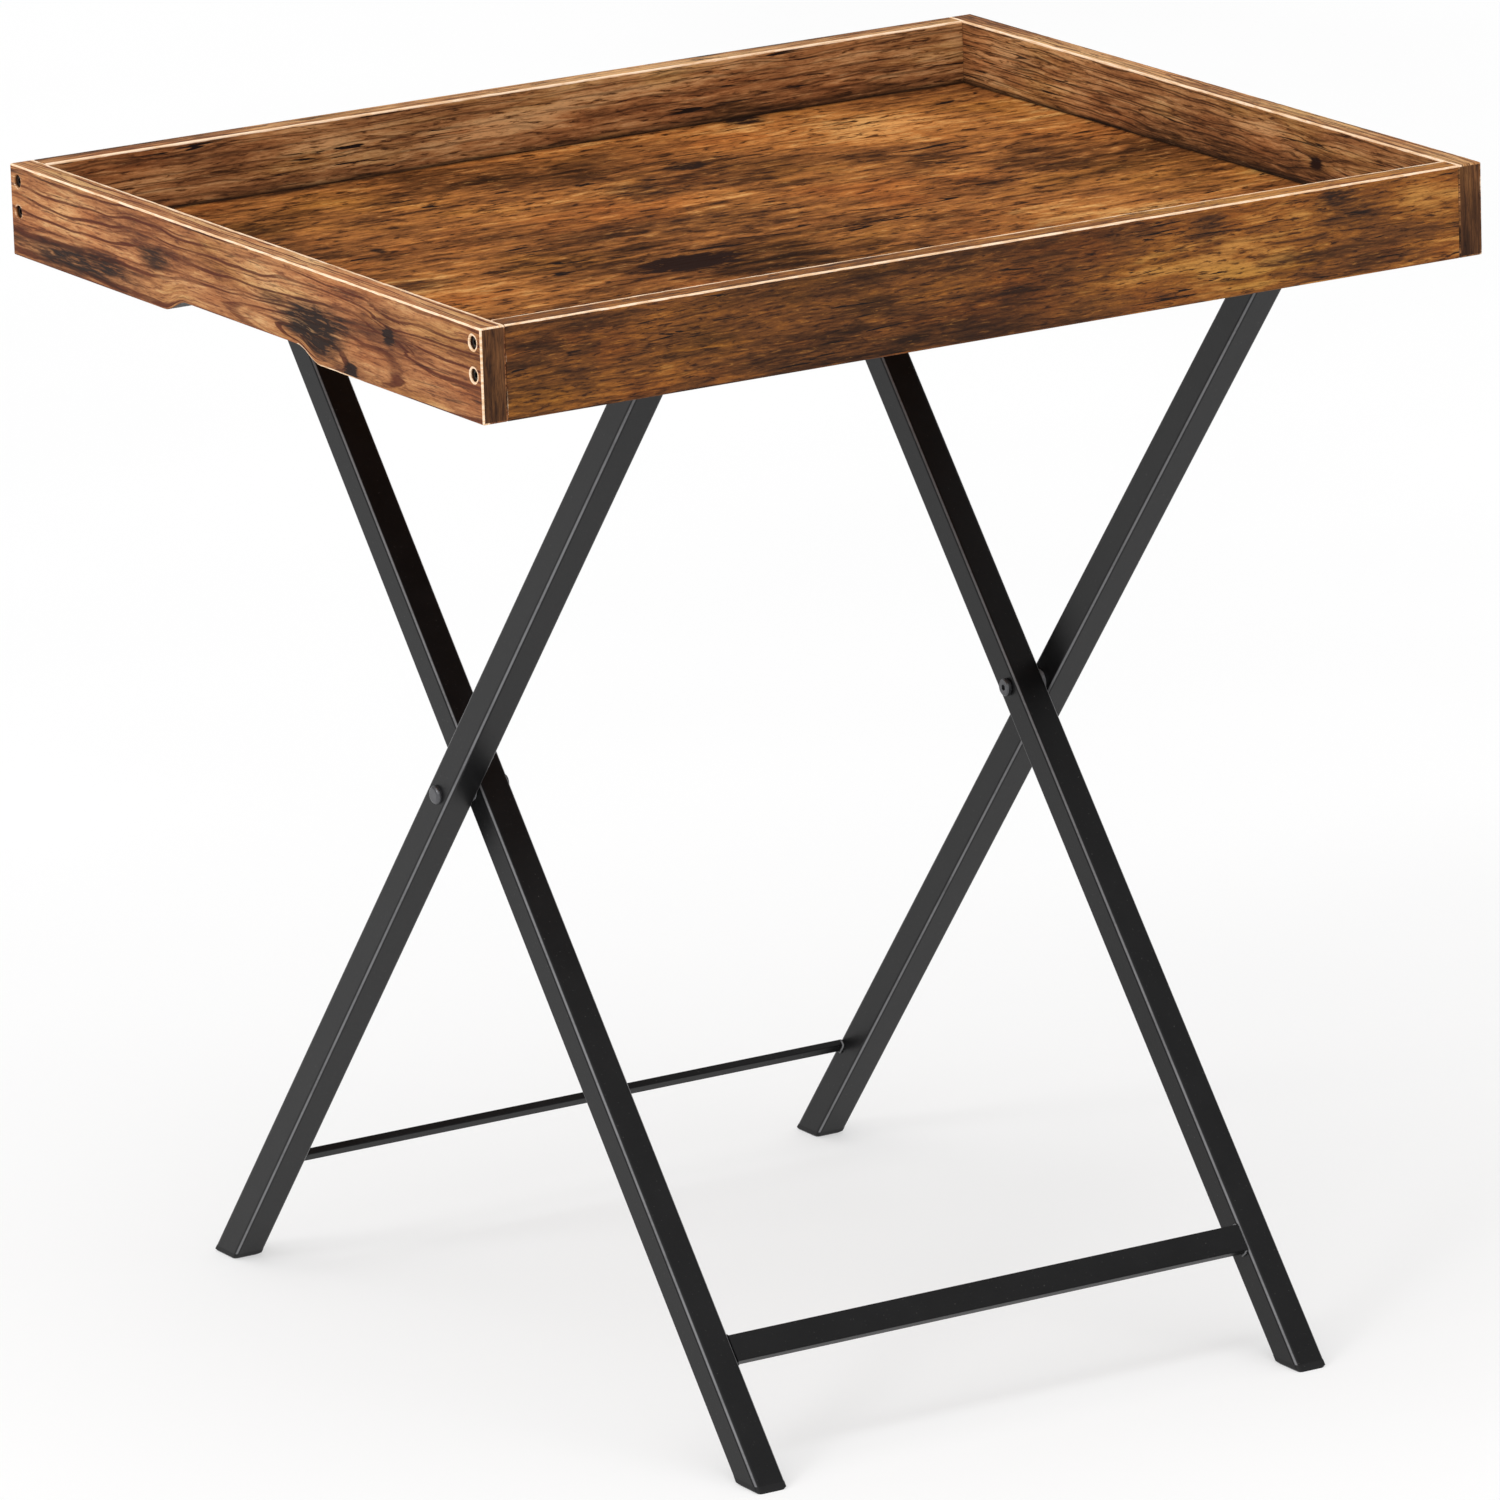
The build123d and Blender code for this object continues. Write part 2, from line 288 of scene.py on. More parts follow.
class Wood(Graph):
    """Rustic wood on a wrapped board: u runs along the grain and s round the section."""

    def __init__(self, name, seed, scale):
        super().__init__(name)
        self.seed = seed
        self.scale = scale
        self.grain = self.named("grain", "Vector")
        self.u, self.s = self.split(self.grain)[:2]
        self.broad = self.figure(6.0, 26.0, 0.0, detail=3)
        self.sway = self.figure(17.0, 70.0, 3.1, detail=2)
        self.streak = self.figure(24.0, 240.0, 5.3, detail=5, rough=0.62, distort=0.5)
        self.thread = self.figure(85.0, 760.0, 7.7, detail=4, rough=0.65, distort=0.5)
        self.grit = self.figure(330.0, 2300.0, 9.2, detail=2, rough=0.6)

    def figure(self, along, across, layer, **how):
        """Noise drawn out along the grain; each layer has its own place in the noise."""
        shift = (self.seed + layer, self.seed * 0.37 - layer, layer)
        often = (along * self.scale[0], across * self.scale[1], 1.0)
        return self.spread(self.noise(self.stretch(self.grain, often, shift), **how), 2.0)

    def off(self, value, middle, size=None):
        """How far a coordinate is from a middle given in millimetres, in metres or in sizes."""
        away = self.plus(value, -middle * MM)
        return away if size is None else self.times(away, 1 / (size * MM))

    def patch(self, wobble, place, size, edge):
        """1 inside a soft ragged ellipse on the board, 0 outside it."""
        du = self.off(self.u, place[0], size[0])
        ds = self.off(self.s, place[1], size[1])
        reach = self.math("SQRT", self.plus(self.times(du, du), self.times(ds, ds)))
        reach = self.plus(reach, self.swing(wobble, PATCH_WOBBLE))
        return self.step(reach, 1.0 + edge, 1.0 - edge)

    def bend(self, knots):
        """Where a growth line runs, and how dark the knots that it passes round make the wood."""
        bent = self.plus(self.s, self.swing(self.sway, LINE_SWAY), self.swing(self.broad, LINE_DRIFT))
        dark = None
        for place, size, depth in knots:
            core = self.patch(self.thread, place, size, 0.35)
            ring = (size[0] * HALO_SIZE[0], size[1] * HALO_SIZE[1])
            halo = self.patch(self.streak, place, ring, 0.9)
            side = self.math("SIGN", self.off(self.s, place[1]))
            bent = self.plus(bent, self.times(side, self.times(halo, KNOT_SWELL)))
            here = self.times(self.plus(core, self.times(halo, 0.25)), depth, clamp=True)
            dark = here if dark is None else self.math("MAXIMUM", dark, here)
        return bent, dark

    def growth(self, bent, lines, arch):
        """The dark growth lines; with an arch they nest round its place."""
        if arch:
            place, size = arch
            rise = self.off(bent, place[1])
            run = self.times(self.math("TANH", self.off(self.u, place[0], size[0])), size[1] * MM)
            bent = self.math("SQRT", self.plus(self.times(rise, rise), self.times(run, run)))
        phase = self.plus(self.times(bent, lines), self.times(self.streak, 0.12))
        coarse = self.math("SINE", self.times(phase, 2 * math.pi))
        fine = self.math("SINE", self.times(phase, 5.3 * math.pi))
        wave = self.plus(self.times(coarse, 0.30), self.times(fine, 0.20), 0.5)
        ring = self.step(self.plus(wave, self.swing(self.thread, 0.30)), 0.60, 0.80)
        return self.times(ring, self.step(self.sway, 0.2, 0.6, 0.5, 1.0))

    def ground(self, palette, fibre, tides_and_painted_light, drift, contrast):
        """The colour under the marks, with a rosy cast in some places and an olive one in others."""
        light = self.plus(self.times(self.broad, 0.40), self.times(self.streak, 0.30 + 0.1 * fibre),
                          self.times(self.thread, 0.30 - 0.1 * fibre))
        for place, size, amount in tides_and_painted_light:
            tide = self.patch(self.streak, place, size, 0.8)
            light = self.plus(light, self.times(tide, amount))
        if drift:
            start, end, before, after = drift
            light = self.plus(light, self.step(self.u, start * MM, end * MM, before, after))
        colour = self.ramp(self.spread(light, contrast), palette)
        hue = self.figure(9.0, 34.0, 33.0, detail=3, rough=0.6)
        for end, cast in ((0.9, ROSE_CAST), (0.1, OLIVE_CAST)):
            share = self.step(hue, 0.5, end, 0.0, CAST_SHARE)
            colour = self.mix(share, colour, cast, "MULTIPLY")
        return colour

    def fibres(self, colour, fibre, dark, pale):
        """Short dark and pale fibres over fine grit."""
        dash = self.times(self.step(self.thread, 0.44, 0.16), fibre, clamp=True)
        colour = self.mix(dash, colour, dark)
        gleam = self.times(self.step(self.thread, 0.66, 0.95), 0.42 * fibre)
        colour = self.mix(gleam, colour, pale)
        return self.mix(self.step(self.grit, 0.1, 0.5, 0.30, 0.0), colour, SOOT)

    def cracks(self, crack):
        """Fine open cracks, in some regions of the board only."""
        torn = self.figure(24.0, 500.0, 12.4, detail=2, rough=0.5, distort=1.2)
        where = self.step(self.figure(10.0, 45.0, 17.0, detail=1), 0.42, 0.66)
        return self.times(self.times(self.step(torn, 0.74, 0.86), where), crack, clamp=True)

    def haze(self, smoke, spots):
        """Smoky darkening: scattered clouds, and the spots that are asked for."""
        cloud = self.figure(12.0, 44.0, 21.0, detail=4, rough=0.6, distort=0.4)
        cloud = self.plus(self.times(cloud, 0.7), self.times(self.streak, 0.3))
        haze = self.times(self.step(cloud, 0.60, 0.85), smoke)
        for place, size, depth in spots:
            spot = self.patch(self.streak, place, size, 0.6)
            spot = self.times(spot, self.step(self.thread, 0.85, 0.35, depth * 0.45, depth))
            haze = self.math("MAXIMUM", haze, spot)
        return haze

    def bare(self):
        """Where the surface is worn through, with a ragged edge."""
        ragged = self.plus(self.named("wear"), self.swing(self.grit, 0.16),
                           self.swing(self.streak, 0.22))
        return self.step(ragged, 0.46, 0.66)


def wood(name, seed, palette, line_tone, lines, line_share, fibre, crack, smoke, arch=None,
         spots=(), knots=(), tides_and_painted_light=(), drift=None, roughness=0.6, scale=(1.0, 1.0), contrast=1.4,
         gloss=0.12):
    """The material of one board. Places and sizes on the board are (u, s) in millimetres.

    lines is the number of growth lines in a metre, and line_share how strongly they show. fibre,
    crack and smoke are how strongly those marks show.
    arch is (place, size), and growth lines nest round that place.
    spots, knots and tides are (place, size, depth): smoky patches, knots, and where the ground
    colour is lighter or darker; a long band over a board's whole top or inner face is painted
    light. drift is (start, end, before, after): the ground's shift along the board. scale
    multiplies how often the figure repeats along and across the grain, and contrast spreads the
    ground's tones.
    """
    w = Wood(name, seed, scale)
    bent, knot = w.bend(knots)
    ring = w.growth(bent, lines, arch)
    colour = w.ground(palette, fibre, tides_and_painted_light, drift, contrast)
    colour = w.mix(w.times(ring, line_share), colour, line_tone)
    colour = w.fibres(colour, fibre, line_tone, palette[-1][1])
    gash = w.cracks(crack)
    colour = w.mix(gash, colour, SOOT)
    colour = w.mix(w.haze(smoke, spots), colour, SMOKE)
    if knot is not None:
        colour = w.mix(knot, colour, KNOT)
    # painted shade in the floor joint, the groove, the screw holes and on the underside
    colour = w.mix(w.times(w.named("painted_shade"), 0.85), colour, SHADE_TONE)
    bare = w.bare()
    colour = w.mix(bare, colour, w.mix(w.step(w.thread, 0.2, 0.7), TAN, CREAM))
    height = w.plus(w.times(w.thread, 0.35), w.times(w.grit, 0.15), w.times(ring, -0.35),
                    w.times(gash, -1.2))
    dull = w.plus(w.times(w.thread, 0.10), w.times(ring, 0.08), w.times(bare, 0.18),
                  roughness - 0.05)
    return w.finish(Base_Color=colour, Normal=w.bump(height, GRAIN_RELIEF, 0.8), Roughness=dull,
                    Specular_IOR_Level=gloss)


# ---- paint, plating and plastic ----
MOTTLE_OFTEN, DUST_OFTEN = 38.0, 900.0
DUST = tone(120, 118, 114)


def coat(name, dark, light, rough, peel_often, relief, metallic=0.0, specular=0.5, ridge_highlight=None):
    """Painted, plated or moulded surfaces: fine orange peel, faint mottling and dust.

    peel_often is how often the peel repeats in a metre, and relief its depth in metres. ridge is
    the tone of a painted highlight along the rounded tube corners, found by how far the normal turns
    from sideways.
    """
    g = Graph(name)
    place = g.add("ShaderNodeTexCoord").outputs["Object"]
    peel = g.noise(g.stretch(place, (peel_often,) * 3), detail=3, rough=0.6)
    mottle = g.noise(g.stretch(place, (MOTTLE_OFTEN,) * 3, (4.0, 1.0, 7.0)), detail=4, rough=0.6)
    dust = g.noise(g.stretch(place, (DUST_OFTEN,) * 3, (1.0, 5.0, 2.0)), detail=2, rough=0.7)
    share = g.plus(g.times(mottle, 0.75), g.times(peel, 0.25))
    colour = g.ramp(share, ((0.32, dark), (0.68, light)))
    colour = g.mix(g.step(dust, 0.66, 0.82, 0.0, 0.35), colour, DUST)
    # a painted highlight: a lighter tone along the rounded tube corners
    if ridge_highlight:
        normal = g.add("ShaderNodeTexCoord").outputs["Normal"]
        turn = g.math("ABSOLUTE", g.split(normal)[0])
        painted_highlight_mask = g.times(g.step(turn, 0.36, 0.60), g.step(turn, 0.93, 0.78))
        patchy = g.step(g.plus(mottle, g.times(dust, 0.3)), 0.35, 0.75, 0.55, 1.0)
        colour = g.mix(g.times(painted_highlight_mask, patchy), colour, ridge_highlight)
    dull = g.plus(g.times(mottle, 0.14), g.times(peel, 0.12), rough - 0.13)
    normal = g.bump(g.plus(peel, g.times(dust, 0.3)), relief, 0.7)
    return g.finish(Base_Color=colour, Roughness=dull, Normal=normal, Metallic=metallic,
                    Specular_IOR_Level=specular)


# ---------------------------------------------------------------- meshes
def finished(bm, name, materials, body, *nodes, slot, sharp=32):
    """Turn a bmesh into a piece that rides on a body and stands for its CAD nodes.

    sharp is the angle in degrees past which an edge isn't smoothed over.
    """
    bmesh.ops.recalc_face_normals(bm, faces=bm.faces)
    mesh = bpy.data.meshes.new(name)
    bm.to_mesh(mesh)
    bm.free()
    mesh.set_sharp_from_angle(angle=math.radians(sharp))
    for material in materials:
        mesh.materials.append(material)
    piece = bpy.data.objects.new(name, mesh)
    bpy.context.scene.collection.objects.link(piece)
    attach(piece, body)
    if nodes:
        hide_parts(*nodes)


class Sheet:
    """A mesh in the making whose points carry wear and painted shade, and whose faces carry the grain."""

    def __init__(self):
        self.bm = bmesh.new()
        self.grain = self.bm.loops.layers.float_vector.new("grain")
        self.wear = self.bm.verts.layers.float.new("wear")
        self.painted_shade = self.bm.verts.layers.float.new("painted_shade")

    def point(self, place, wear, painted_shade):
        """A point at a place in millimetres."""
        v = self.bm.verts.new(place * MM)
        v[self.wear] = wear
        v[self.painted_shade] = painted_shade
        return v


# ---- rim boards ----
def outer_levels(height):
    """Heights of the grid lines on a board's outer face."""
    patches = []
    for drop in sorted(HOLE_DROPS, reverse=True):
        foot = height - drop - HOLE_PATCH
        patches.append([foot + k * HOLE_CELL for k in range(HOLE_CELLS + 1)])
    lower, upper = patches
    between = (lower[-1] + upper[0]) / 2
    return [ARRIS, ARRIS + WEAR_FADE, *OUTER_LEVELS, *lower, between, *upper,
            height - ARRIS - WEAR_FADE, height - ARRIS]


def lifted(up, notch, edge):
    """A height after the finger notch has pushed the lower edge up; edge is where that ends."""
    foot = ARRIS + WEAR_FADE * 0.5
    if up <= foot:
        return up + notch
    if up >= edge:
        return up
    return up + notch * (edge - up) / (edge - foot)


def section(thick, height, inset, notch, slotted, worn, fade):
    """A board's outline: (inward, up, wrap, wear, painted shade) from the outer face's foot and round.

    worn is how far the outer top, inner top, inner foot and outer foot arrises are worn, and
    fade how far the wear of the inner top one reaches over the top.
    """
    points = []
    turn = max(ARRIS - inset, LEAST_ROUND)
    outer_top, inner_top, inner_foot, outer_foot = worn
    top = height - ARRIS
    inner = thick - inset

    def corner(inward, up, start, wrap, wear):
        for k in range(1, ARRIS_STEPS):
            angle = math.radians(start - 90 * k / ARRIS_STEPS)
            points.append((inward + turn * math.cos(angle), up + turn * math.sin(angle),
                           wrap + ARC * k / ARRIS_STEPS, wear, 0.0))

    # outer face, up
    edges = {ARRIS: EDGE_WEAR * outer_foot, top: EDGE_WEAR * outer_top}
    for level in outer_levels(height):
        points.append((inset, lifted(level, notch, NOTCH_REACH_OUTSIDE), level,
                       edges.get(level, 0.0), 0.0))
    wrap = top
    corner(ARRIS, top, 180, wrap, outer_top)
    wrap += ARC

    # top, inward
    for inward, wear in ((ARRIS, EDGE_WEAR * outer_top), (ARRIS + WEAR_FADE, 0.0),
                         *((thick * share, 0.0) for share in TOP_SHARES),
                         (thick - ARRIS - fade, 0.0), (thick - ARRIS, inner_top)):
        points.append((inward, height - inset, wrap + inward - ARRIS, wear, 0.0))
    wrap += thick - 2 * ARRIS
    corner(thick - ARRIS, top, 90, wrap, inner_top)
    wrap += ARC

    # inner face, down past the groove for the floor
    for level in (top, top - WEAR_FADE, *INNER_LEVELS, FLOOR_HEIGHT, SLOT_HIGH):
        # painted shade: full below the floor's top and in the groove, part of it in the joint just above
        painted_shade = 1.0 if level <= FLOOR_HEIGHT else JOINT_SHADE if level < JOINT_SHADE_TOP else 0.0
        wear = EDGE_WEAR * inner_top if level == top else 0.0
        points.append((inner, level, wrap + top - level, wear, painted_shade))
    deep = inner - (SLOT_DEEP if slotted else 0.0)
    for inward, level in ((deep, SLOT_HIGH), (deep, SLOT_LOW), (inner, SLOT_LOW)):
        points.append((inward, level, wrap + top - level, 0.0, 1.0))
    for level in (INNER_FOOT_LEVEL, ARRIS + WEAR_FADE, ARRIS):
        wear = EDGE_WEAR * inner_foot if level == ARRIS else 0.0
        points.append((inner, lifted(level, notch, SLOT_LOW), wrap + top - level, wear, 0.0))
    wrap += height - 2 * ARRIS
    corner(thick - ARRIS, notch + ARRIS, 0, wrap, inner_foot)
    wrap += ARC

    # underside, outward, with painted shade over it
    for inward, wear in ((thick - ARRIS, inner_foot), (thick - ARRIS - WEAR_FADE, 0.0),
                         (thick / 2, 0.0), (ARRIS + WEAR_FADE, 0.0), (ARRIS, outer_foot)):
        points.append((inward, notch + inset, wrap + thick - ARRIS - inward, EDGE_WEAR * wear,
                       UNDERSIDE_SHADE))
    wrap += thick - 2 * ARRIS
    corner(ARRIS, notch + ARRIS, 270, wrap, outer_foot)
    return points


def stations(length, rounded):
    """(distance along, inset) of a board's sections, closer at its ends."""
    if rounded:
        ends = []
        for k in range(ARRIS_STEPS + 1):
            angle = math.radians(90 * k / ARRIS_STEPS)
            ends.append((ARRIS - ARRIS * math.cos(angle), ARRIS - ARRIS * math.sin(angle)))
        ends += [(HOLE_IN - HOLE_PATCH + k * HOLE_CELL, 0.0) for k in range(HOLE_CELLS + 1)]
    else:
        ends = [(0.0, BUTT_BEVEL), (BUTT_BEVEL, 0.0), (BUTT_BEVEL + BUTT_REST, 0.0)]
    start = ends[-1][0]
    count = round((length - 2 * start) / STATION)
    middle = [(start + (length - 2 * start) * k / count, 0.0) for k in range(1, count)]
    return ends + middle + [(length - a, inset) for a, inset in reversed(ends)]


def notch_wear(past):
    """Wear of the outer foot arris at a distance past the near end of the notch's flat."""
    set_in = smooth((past + NOTCH_WEAR_IN / 2) / NOTCH_WEAR_IN)
    return set_in * smooth((NOTCH_RUN + NOTCH_WEAR_END - past) / NOTCH_WEAR_OUT)


def knocked(along, wrap, wear, seed):
    """(depth of a dent, wear) at a place on an arris whose wear is given."""
    seat = Vector((along * DENT_ALONG, wrap * DENT_ROUND, seed))
    knock = noise.noise(seat) + SMALL_DENT * noise.noise(seat * SMALL_DENT_OFTEN)
    return max(0.0, knock) * DENT, wear + WEAR_CHANGE * noise.noise(seat * WEAR_OFTEN)


class Board(Sheet):
    """The mesh of one rim board: sections along it, skinned, capped and bored.

    capping is True for an end board, which runs along Y over the ends of the two long boards.
    """

    def __init__(self, node, capping, outward):
        super().__init__()
        self.low, self.capping, self.outward = low(node) / MM, capping, outward
        size = high(node) / MM - self.low
        self.length, self.thick = (size.y, size.x) if capping else (size.x, size.y)
        self.height = size.z
        self.face = high(node) / MM if outward > 0 else self.low
        self.far_end = high(node).y / MM
        self.levels = outer_levels(self.height)
        self.holes = []
        if capping:
            for along in (HOLE_IN, self.length - HOLE_IN):
                self.holes += [(along, self.height - drop) for drop in HOLE_DROPS]

    def place(self, along, inward, up):
        if self.capping:
            return Vector((self.face.x - self.outward * inward, self.far_end - along,
                           self.low.z + up))
        return Vector((self.low.x + along, self.face.y - self.outward * inward, self.low.z + up))

    def skin(self, verts, wraps, index=0):
        made = self.bm.faces.new(verts)
        made.material_index = index
        made.smooth = True
        for loop, (a, b) in zip(made.loops, wraps):
            loop[self.grain] = (a * MM, b * MM, 0.0)
        return made

    def end_wear(self, along, ends):
        """Wear of a board's upright end corners, which fades out past them."""
        wear = ends[0] if along < self.length / 2 else ends[1]
        past = min(along, self.length - along) - (ARRIS if self.capping else BUTT_BEVEL)
        if past > HAIR:
            return 0.0
        return wear * EDGE_WEAR if past > -HAIR else wear

    def row(self, along, inset, worn, ends, fade, seed):
        """One section's (point, wrap) pairs."""
        thick, height = self.thick, self.height
        notch, foot = 0.0, worn[3]
        if self.capping:
            away = abs(along - self.length / 2)
            notch = NOTCH_HEIGHT * smooth((NOTCH_FLAT / 2 + NOTCH_RUN - away) / NOTCH_RUN)
            foot += notch_wear(along - self.length / 2 - NOTCH_FLAT / 2)
        slotted = not self.capping or HOLE_IN < along < self.length - HOLE_IN
        end_near = min(along, self.length - along)
        at_end = self.end_wear(along, ends)
        row = []
        for inward, up, wrap, wear, painted_shade in section(
                thick, height, inset, notch, slotted, (*worn[:3], min(foot, 1.0)), fade):
            on_top = self.capping and up > height - ARRIS - HAIR
            if inward < thick / 2 or on_top:
                wear = max(wear, at_end)
            if wear > 0:
                knock, wear = knocked(along, wrap, wear, seed)
                if end_near > ARRIS and wear > DENTED_FROM:
                    inward += knock * (1 if inward < thick / 2 else -1)
                    up += knock * (1 if up < height / 2 else -1)
            row.append((self.point(self.place(along, inward, up), max(wear, 0.0), painted_shade), wrap))
        return row

    def in_hole(self, along, up):
        return any(abs(along - a) < HOLE_PATCH and abs(up - b) < HOLE_PATCH for a, b in self.holes)

    def wrap_round(self, rows):
        """Skin the four long sides, leaving a square gap at each screw hole."""
        lines = len(rows[0][1])
        perimeter = rows[0][1][-1][1] + SEAM
        under = range(lines - ARRIS_STEPS - UNDERSIDE_LINES, lines - ARRIS_STEPS)
        for (a0, r0), (a1, r1) in zip(rows, rows[1:]):
            middle = (a0 + a1) / 2
            in_notch = abs(middle - self.length / 2) < NOTCH_FLAT / 2 + NOTCH_RUN
            for j in range(lines):
                k = (j + 1) % lines
                outside = k and k < len(self.levels)
                if outside and self.in_hole(middle, (self.levels[j] + self.levels[k]) / 2):
                    continue
                far = r0[k][1] if k else perimeter
                # the routed notch's underside takes the dark coat that paints its shade
                routed = self.capping and in_notch and j in under
                self.skin([r0[j][0], r0[k][0], r1[k][0], r1[j][0]],
                          [(a0, r0[j][1]), (a0, far), (a1, far), (a1, r0[j][1])],
                          2 if routed else 0)

    def cap(self, row):
        """Close one end, with a narrow rim of its own round the cut."""
        wraps = [((v.co.z / MM - self.low.z), (v.co.x + v.co.y) / MM) for v, _ in row]
        cap = self.skin([v for v, _ in row], wraps, 1)
        rim = bmesh.ops.inset_individual(self.bm, faces=[cap], thickness=CAP_RIM * MM, depth=0.0)
        for face in rim["faces"]:
            face.material_index = 1
        for v in cap.verts:
            v[self.wear] = 0.0

    def mouth(self, rows, along, up):
        """The points round the square gap of a hole, as (angle, point, along, up), in order."""
        ring = []
        for a, row in rows:
            for j, level in enumerate(self.levels):
                da, db = a - along, level - up
                if abs(max(abs(da), abs(db)) - HOLE_PATCH) < HAIR:
                    ring.append((math.atan2(db, da), row[j][0], a, level))
        return sorted(ring, key=lambda item: item[0])

    def bore(self, rows, along, up):
        """A round screw hole with a worn mouth, let into its gap in the grid."""
        ring = self.mouth(rows, along, up)
        previous = [(v, a, level) for _, v, a, level in ring]
        # the deep rings carry painted shade, which darkens the bottom of the hole
        for radius, deep, worn, painted_shade in HOLE_RINGS:
            wear = worn * (BACK_HOLE_WEAR if along < self.length / 2 else 1.0)
            ragged = HOLE_CHIP if radius > HOLE_RADIUS else 0.0
            current = []
            for angle, _, _, _ in ring:
                seat = Vector((angle * HOLE_CHIP_OFTEN, along, up))
                reach = radius * (1 + ragged * noise.noise(seat))
                a, b = along + reach * math.cos(angle), up + reach * math.sin(angle)
                current.append((self.point(self.place(a, deep, b), wear, painted_shade), a, b))
            for k in range(len(ring)):
                m = (k + 1) % len(ring)
                four = (previous[k], previous[m], current[m], current[k])
                self.skin([q[0] for q in four], [q[1:] for q in four])
            previous = current
        self.skin([q[0] for q in previous], [q[1:] for q in previous])


def board(name, node, capping, outward, slot, materials, worn, ends, fade, seed):
    """One rim board. outward is the sign of its outer face's direction.

    materials are those of the long sides, the cut ends and, on an end board, the routed notch, whose dark coat is
    painted shade.
    worn is the wear of the outer top, inner top, inner foot and outer foot arrises, ends that of
    the upright corners at the two ends, and seed the place of its dents in the noise.
    """
    made = Board(node, capping, outward)
    rows = [(along, made.row(along, inset, worn, ends, fade, seed))
            for along, inset in stations(made.length, capping)]
    made.wrap_round(rows)
    for _, row in (rows[0], rows[-1]):
        made.cap(row)
    for along, up in made.holes:
        made.bore(rows, along, up)
    finished(made.bm, name, materials, "tray", node, slot=slot)


# ---- floor panel ----
def rectangle(half_x, half_y, cells):
    """Points round a rectangle, evenly spaced on each side."""
    corners = [(-half_x, -half_y), (half_x, -half_y), (half_x, half_y), (-half_x, half_y)]
    points = []
    for side, ((x0, y0), (x1, y1)) in enumerate(zip(corners, corners[1:] + corners[:1])):
        count = cells[side % 2]
        points += [(x0 + (x1 - x0) * k / count, y0 + (y1 - y0) * k / count) for k in range(count)]
    return points


def floor_panel(material):
    """The tray's floor: a thin board whose lowered edge sits in the rim's groove."""
    lo, hi = low("tray_panel") / MM, high("tray_panel") / MM
    tongue = hi.x + high("left_end_board").x / MM + PANEL_GAP
    top, shelf, bottom = hi.z, lo.z + TONGUE_THICK, lo.z
    # inset from the visible edge, height and painted shade of each loop, from the top round to the bottom;
    # the shade near the edge paints the shadow of the gap
    loops_at = ((PANEL_HEART, top, 0.0), (2.6, top, 0.0), (1.2, top, 0.55), (0.5, top, 1.0),
                (0.12, top - 0.12, 1.0), (0.0, top - 0.5, 1.0), (0.0, shelf, 1.0),
                (-tongue, shelf, 1.0), (-tongue, bottom + TONGUE_BEVEL, TONGUE_SHADE),
                (-tongue + TONGUE_BEVEL, bottom, TONGUE_SHADE), (PANEL_HEART, bottom, 0.0))
    panel = Sheet()
    loops = []
    for inset, z, painted_shade in loops_at:
        outline = rectangle(hi.x - tongue - inset, hi.y - tongue - inset, PANEL_CELLS)
        loops.append([panel.point(Vector((x, y, z)), 0.0, painted_shade) for x, y in outline])
    for first, second in zip(loops, loops[1:]):
        for k in range(len(first)):
            m = (k + 1) % len(first)
            panel.bm.faces.new((first[k], first[m], second[m], second[k]))
    for loop in (loops[0], loops[-1]):
        panel.bm.faces.new(loop)
    for face in panel.bm.faces:
        for corner in face.loops:
            co = corner.vert.co
            depth = co.z - hi.z * MM
            corner[panel.grain] = (co.x - lo.x * MM, co.y - lo.y * MM + depth, 0.0)
    finished(panel.bm, "tray_floor", [material], "tray", "tray_panel", slot="tray_floor_wood")


# ---------------------------------------------------------------- the tray
WARM = ((0.14, tone(70, 38, 23)), (0.34, tone(122, 73, 43)), (0.50, tone(157, 100, 60)),
        (0.66, tone(182, 125, 79)), (0.86, tone(212, 164, 112)))
BROWN = ((0.14, tone(38, 23, 14)), (0.34, tone(80, 48, 25)), (0.50, tone(113, 68, 33)),
         (0.66, tone(146, 89, 37)), (0.86, tone(188, 130, 64)))
UMBER = ((0.14, tone(46, 28, 17)), (0.34, tone(98, 62, 36)), (0.50, tone(139, 90, 54)),
         (0.66, tone(174, 120, 74)), (0.86, tone(214, 164, 112)))
MELLOW = ((0.14, tone(42, 25, 14)), (0.34, tone(100, 60, 31)), (0.50, tone(144, 89, 46)),
          (0.66, tone(178, 113, 56)), (0.86, tone(214, 158, 94)))
CUT = ((0.20, tone(50, 28, 16)), (0.42, tone(86, 53, 31)), (0.60, tone(112, 72, 42)),
       (0.82, tone(142, 97, 60)))

